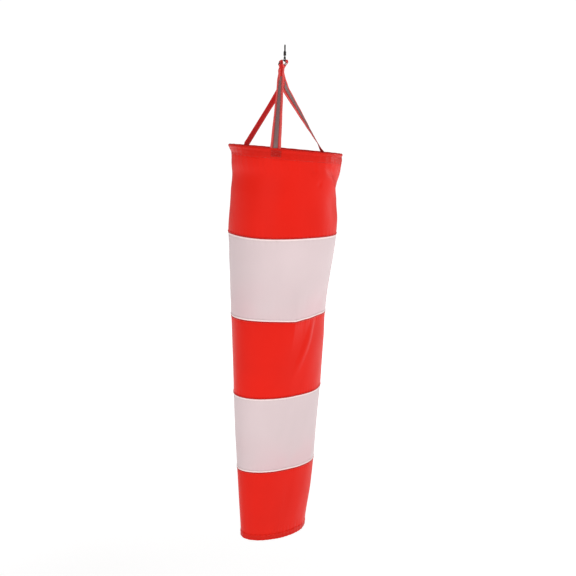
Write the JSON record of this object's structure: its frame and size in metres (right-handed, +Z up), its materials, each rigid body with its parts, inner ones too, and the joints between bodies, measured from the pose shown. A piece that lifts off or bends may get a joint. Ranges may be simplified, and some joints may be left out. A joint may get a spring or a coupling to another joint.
{
  "type": "hanging windsock",
  "caption": "Red and white banded cloth windsock with a wire-hooped mouth, webbing harness, ring and swivel snap hook, hung from the hook.",
  "frame": {"origin": "the seat inside the top of the snap hook's bow, where the hook hangs on a line or eye", "axes": "+Z up through the hook, -Y is the front, +X to the right seen from the front"},
  "size_m": [0.2779, 0.2778, 1.2446],
  "materials": {
    "nickel": "plated, polished",
    "steel": "drawn wire",
    "red_cloth": "smooth coated nylon",
    "white_cloth": "smooth coated nylon, slightly translucent",
    "red_webbing": "woven polyester webbing",
    "reflective_tape": "grey retroreflective glass-bead tape"
  },
  "bodies": {
    "hook": {"snap_hook_body": "nickel", "gate_pin": "steel", "gate_spring": "steel"},
    "gate": {"snap_gate": "nickel"},
    "swivel": {"swivel_eye": "nickel", "swivel_collar": "nickel"},
    "ring": {"suspension_ring": "nickel"},
    "sock": {"band_1_red": "red_cloth", "band_3_red": "red_cloth", "band_5_red": "red_cloth", "mouth_hem": "red_cloth", "tail_hem": "red_cloth", "seam_1": "red_cloth", "seam_2": "red_cloth", "seam_3": "red_cloth", "seam_4": "red_cloth", "back_seam": "red_cloth", "band_2_white": "white_cloth", "band_4_white": "white_cloth", "strap_front": "red_webbing", "strap_right": "red_webbing", "strap_left": "red_webbing", "strap_bundle": "red_webbing", "reflective_tape_front": "reflective_tape", "reflective_tape_right": "reflective_tape", "reflective_tape_left": "reflective_tape", "mouth_hoop": "steel", "hoop_ferrule": "steel"}
  },
  "joints": [
    {"name": "gate_hinge", "type": "hinge", "parent": "hook", "child": "gate", "pos_m": [0, -0.0042, -0.016], "axis": [1, 0, 0], "range_deg": [-33, 0], "stiffness_Nm_per_rad": 0.004, "springref_deg": 20.05},
    {"name": "swivel_turn", "type": "hinge", "parent": "hook", "child": "swivel", "pos_m": [0, 0, -0.027], "axis": [0, 0, 1], "continuous": true},
    {"name": "ring_tilt", "type": "hinge", "parent": "swivel", "child": "ring", "pos_m": [0, 0, -0.0321], "axis": [0.829, -0.5592, 0], "range_deg": [-25, 95]},
    {"name": "harness_turn", "type": "hinge", "parent": "ring", "child": "sock", "pos_m": [-0.00445, -0.0066, -0.03879], "axis": [0.3594, 0.5329, -0.766], "range_deg": [-20, 12]}
  ]
}
